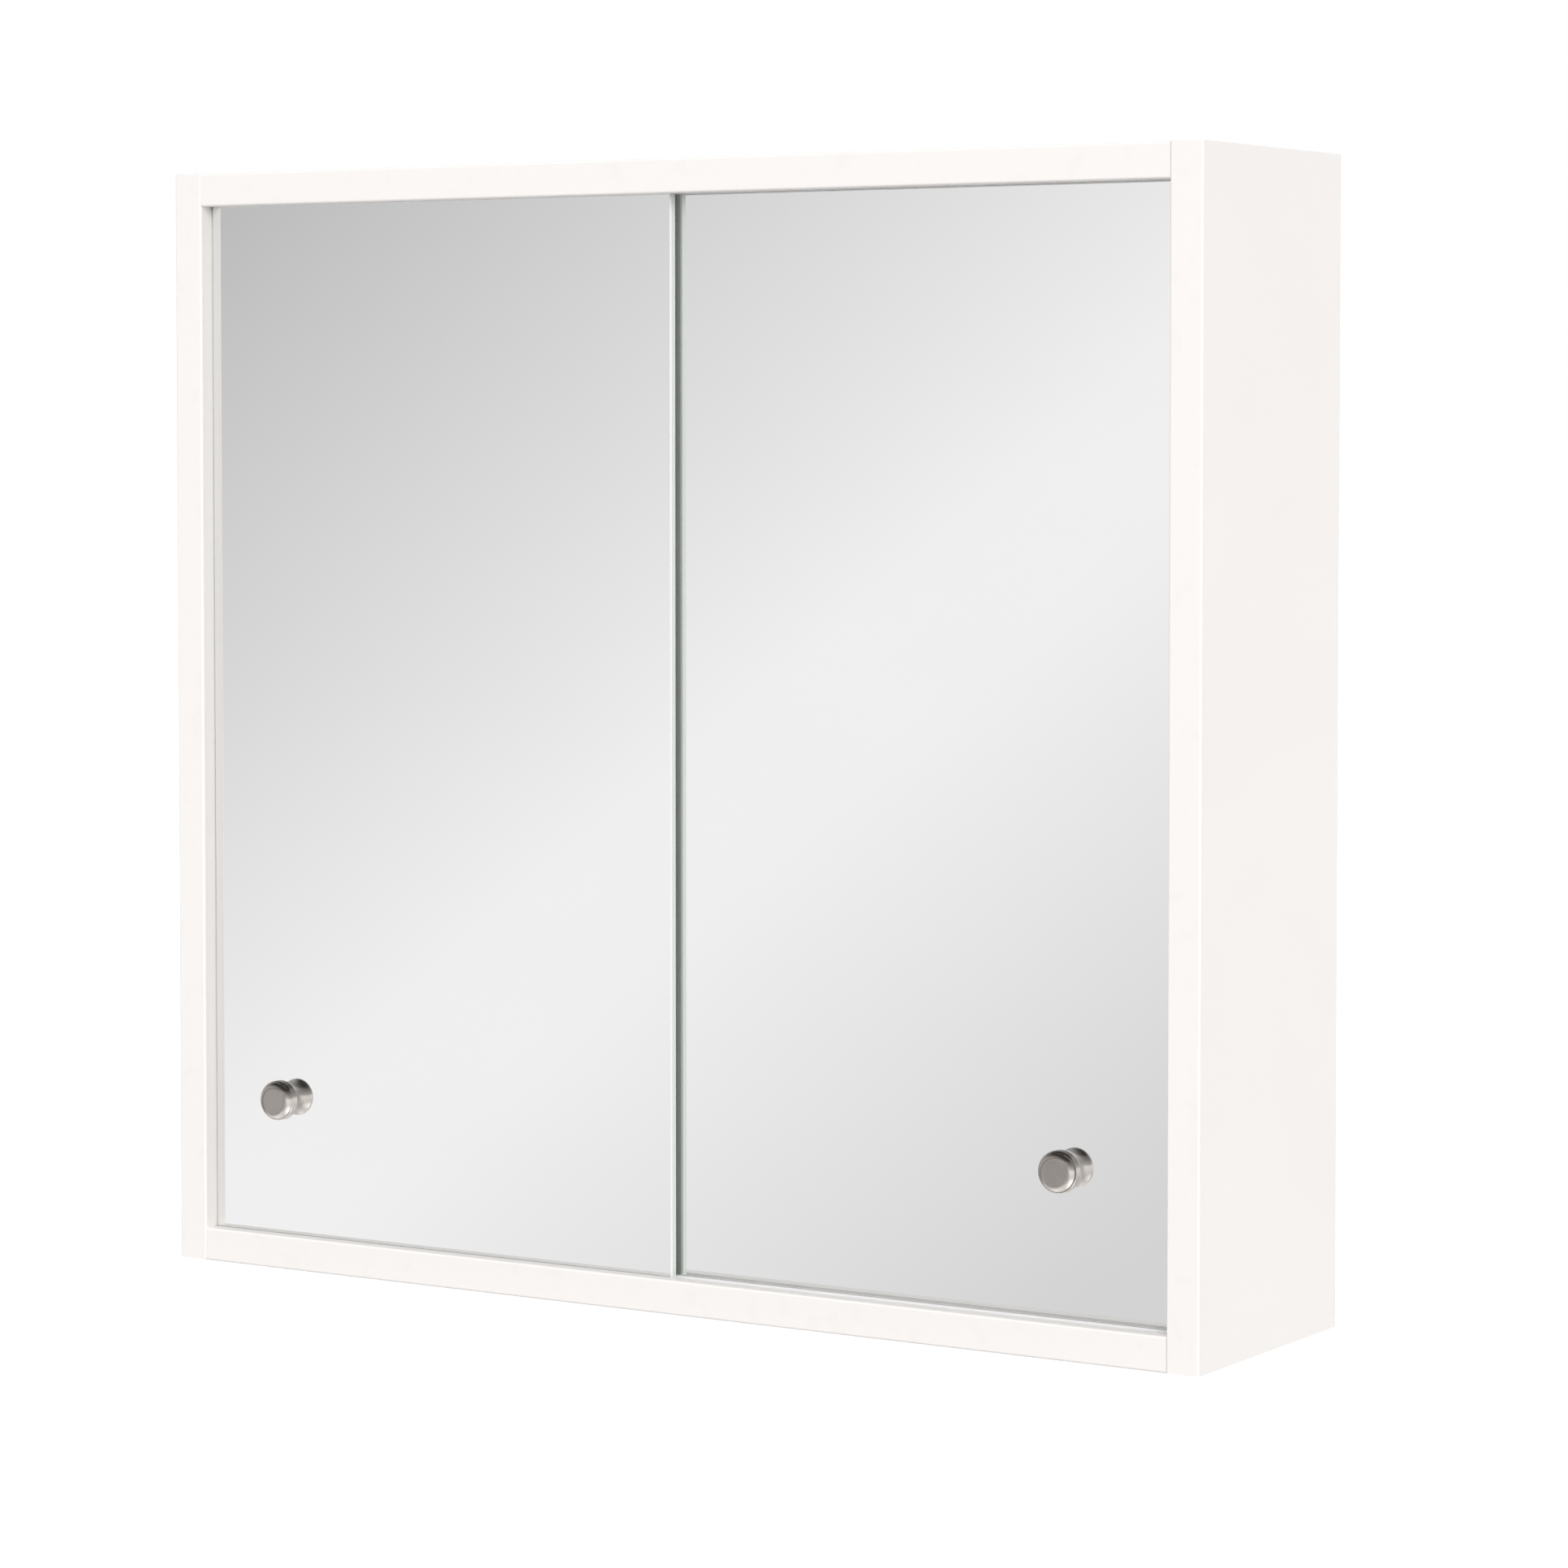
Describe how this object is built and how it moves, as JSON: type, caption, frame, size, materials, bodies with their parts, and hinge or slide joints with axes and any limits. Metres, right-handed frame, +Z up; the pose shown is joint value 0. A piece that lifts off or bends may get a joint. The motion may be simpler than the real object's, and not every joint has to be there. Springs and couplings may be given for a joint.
{
  "type": "bathroom mirror cabinet",
  "caption": "Wall-hung bathroom cabinet: a white board carcass with sliding mirror doors in tracks, shelves on pins inside and a turned metal knob on each door.",
  "frame": {"origin": "on the wall plane, midway between the holes for the wall screws in the hanging rail", "axes": "+X to the right seen from the front, +Y from the front towards the wall, +Z up"},
  "size_m": [0.53, 0.1401, 0.502],
  "materials": {
    "white_board": "satin white foil on board",
    "back_board": "white faced hardboard",
    "track_plastic": "extruded white plastic",
    "mirror_glass": "silvered float glass, ground edges",
    "satin_nickel": "satin nickel plate, turned",
    "zinc_plate": "bright zinc plate",
    "cast_zinc": "die-cast zinc, tumbled",
    "beech": "plain beech, fluted",
    "bonding_pad": "double-sided acrylic foam",
    "bumper_rubber": "clear soft polymer"
  },
  "bodies": {
    "cabinet": {"left_side_panel": "white_board", "right_side_panel": "white_board", "top_panel": "white_board", "bottom_panel": "white_board", "back_panel": "back_board", "hanging_rail": "white_board", "top_track": "track_plastic", "bottom_track": "track_plastic", "lower_shelf": "white_board", "upper_shelf": "white_board", "lower_shelf_pins": "zinc_plate", "upper_shelf_pins": "zinc_plate", "cam_locks": "cast_zinc", "cam_bolts": "zinc_plate", "carcass_dowels": "beech", "rail_dowels": "beech", "left_door_bumpers": "bumper_rubber", "right_door_bumpers": "bumper_rubber"},
    "left_door": {"left_mirror_door": "mirror_glass", "left_knob": "satin_nickel", "left_knob_pad": "bonding_pad"},
    "right_door": {"right_mirror_door": "mirror_glass", "right_knob": "satin_nickel", "right_knob_pad": "bonding_pad"}
  },
  "joints": [
    {"name": "left_door_slide", "type": "slide", "parent": "cabinet", "child": "left_door", "axis": [1, 0, 0], "range_m": [0, 0.094]},
    {"name": "right_door_slide", "type": "slide", "parent": "cabinet", "child": "right_door", "axis": [-1, 0, 0], "range_m": [0, 0.094]}
  ]
}
